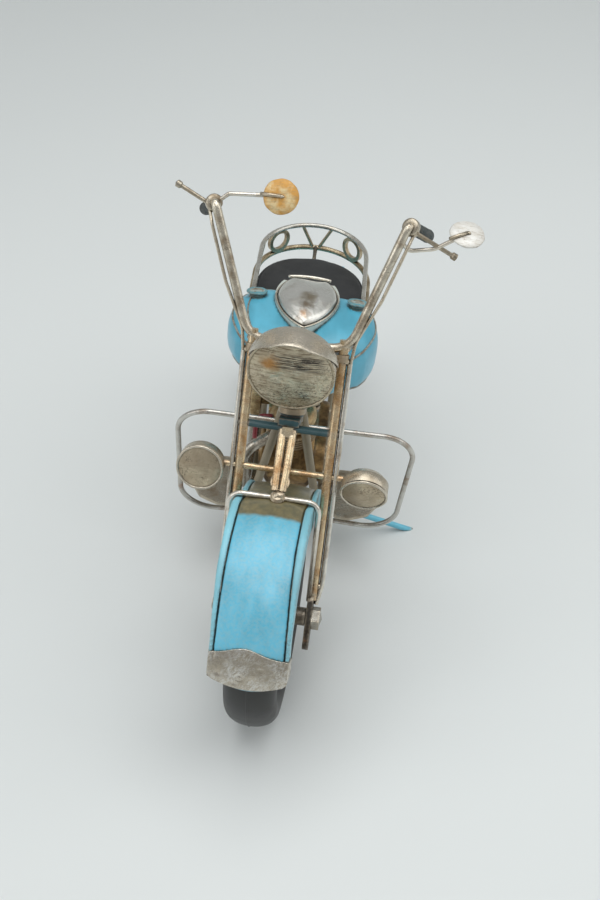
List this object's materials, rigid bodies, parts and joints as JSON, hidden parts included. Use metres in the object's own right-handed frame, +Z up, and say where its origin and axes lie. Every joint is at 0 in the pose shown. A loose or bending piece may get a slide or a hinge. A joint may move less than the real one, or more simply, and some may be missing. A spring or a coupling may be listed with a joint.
{
  "type": "toy motorcycle",
  "caption": "Handmade tin motorcycle ornament with a springer fork, spoked wheels, high bars, round lamps, crash bars and a side stand; it steers, rolls and parks.",
  "frame": {"origin": "middle of the footprint, on the surface that the wheels and the side stand rest on", "axes": "+Z up, the front of the machine faces -Y, +X towards the side stand"},
  "size_m": [0.1076, 0.2352, 0.1742],
  "materials": {
    "tyre_black": "smooth black rubber",
    "rim_steel": "dull steel with a brown wash",
    "spoke_steel": "plain wire",
    "hub_steel": "turned steel with a brown wash",
    "axle_steel": "raw steel, tarnished brown in its corners",
    "fork_bronze": "steel rod with a brown and gold wash",
    "rod_silver": "bare steel wire with brown stains",
    "plate_steel": "steel plate with a brown wash",
    "yoke_teal": "dark teal paint, worn",
    "yoke_bronze": "steel with a brown wash",
    "hanger_silver": "solder and steel, scratched",
    "fender_blue": "hand-brushed sky-blue paint with a dark wash at its edges",
    "flange_blue": "light blue paint worn to bare metal along its edge",
    "tip_silver": "raw sheet metal, scratched and dented",
    "lamp_silver": "pressed sheet with a brown wash",
    "lens_silver": "pitted and scratched sheet with a gold-brown stain",
    "visor_silver": "bright brushed sheet",
    "bar_bronze": "steel rod with a brown and cream wash",
    "grip_dark": "blackened teal paint",
    "lever_silver": "steel rod with a brown wash",
    "mirror_cream": "cream-white face with orange rust stains",
    "frame_grey": "blue-grey paint worn to tan",
    "tank_blue": "hand-brushed sky-blue paint with a dark wash in its seams",
    "console_silver": "domed sheet with a rust stain at its tip",
    "rim_light": "pale worn edge",
    "cap_teal": "dark teal-blue paint",
    "seat_black": "matt black padded cover",
    "hoop_silver": "bright steel wire",
    "hoop_bronze": "steel wire with a brown and cream wash",
    "tail_red": "dark red paint",
    "lead_red": "dark red paint",
    "engine_dark": "blackened paint with brown dry brushing",
    "barrel_brown": "steel with a dark brown wash",
    "cover_silver": "steel with a brown wash",
    "tube_brass": "dull brass",
    "pipe_silver": "steel tube with a brown wash",
    "crash_silver": "bare steel wire with rust-brown stretches",
    "board_grey": "grey sheet metal",
    "stand_blue": "light blue paint"
  },
  "bodies": {
    "frame": {"head_tube": "yoke_bronze", "frame_tubes": "frame_grey", "tank_left": "tank_blue", "tank_right": "tank_blue", "tank_console": "console_silver", "console_rim": "rim_light", "tank_caps": "cap_teal", "seat": "seat_black", "rail_top_hoop": "hoop_silver", "rail_bottom_hoop": "hoop_bronze", "rail_ornaments": "hoop_bronze", "rear_fender": "fender_blue", "tail_lamp": "tail_red", "crankcase": "engine_dark", "cylinders": "barrel_brown", "rocker_covers": "cover_silver", "pushrod_tubes": "tube_brass", "engine_covers": "engine_dark", "air_cleaner": "cover_silver", "spark_leads": "lead_red", "exhaust": "pipe_silver", "crash_bars": "crash_silver", "footboards": "board_grey", "rear_axle_bolt": "axle_steel", "rear_axle_nut": "axle_steel"},
    "steering": {"front_axle_bolt": "axle_steel", "front_axle_nut": "axle_steel", "fork_tubes": "fork_bronze", "fork_plates": "plate_steel", "fork_rods": "rod_silver", "lower_yoke": "yoke_teal", "upper_yoke": "yoke_bronze", "steering_stem": "yoke_bronze", "fender_hanger": "hanger_silver", "cross_rod": "fork_bronze", "front_fender_top": "fender_blue", "front_fender_sides": "flange_blue", "front_fender_tip": "tip_silver", "front_fender_rail": "rod_silver", "fender_screw": "hanger_silver", "headlight_shell": "lamp_silver", "headlight_lens": "lens_silver", "headlight_visor": "visor_silver", "fog_lamps": "lamp_silver", "fog_lenses": "lens_silver", "handlebar": "bar_bronze", "grips": "grip_dark", "levers": "lever_silver", "mirror_stems": "rod_silver", "mirrors": "mirror_cream", "bar_cables": "bar_bronze"},
    "front_wheel": {"front_tyre": "tyre_black", "front_rim": "rim_steel", "front_spokes": "spoke_steel", "front_hub": "hub_steel"},
    "rear_wheel": {"rear_tyre": "tyre_black", "rear_rim": "rim_steel", "rear_spokes": "spoke_steel", "rear_hub": "hub_steel"},
    "side_stand": {"side_stand": "stand_blue"}
  },
  "joints": [
    {"name": "steer", "type": "hinge", "parent": "frame", "child": "steering", "pos_m": [-0.00648, -0.03611, 0.09976], "axis": [0.0808, 0.454, 0.8873], "range_deg": [-25, 34]},
    {"name": "front_wheel_spin", "type": "hinge", "parent": "steering", "child": "front_wheel", "pos_m": [-0.01236, -0.07319, 0.04004], "axis": [0.9961, -0.0684, -0.0557], "continuous": true},
    {"name": "rear_wheel_spin", "type": "hinge", "parent": "frame", "child": "rear_wheel", "pos_m": [-0.01192, 0.07079, 0.04001], "axis": [0.9959, 0, -0.0906], "continuous": true},
    {"name": "stand_fold", "type": "hinge", "parent": "frame", "child": "side_stand", "pos_m": [0.00485, 0.00339, 0.019], "axis": [0.476, 0.1629, 0.8642], "range_deg": [0, 86]}
  ]
}
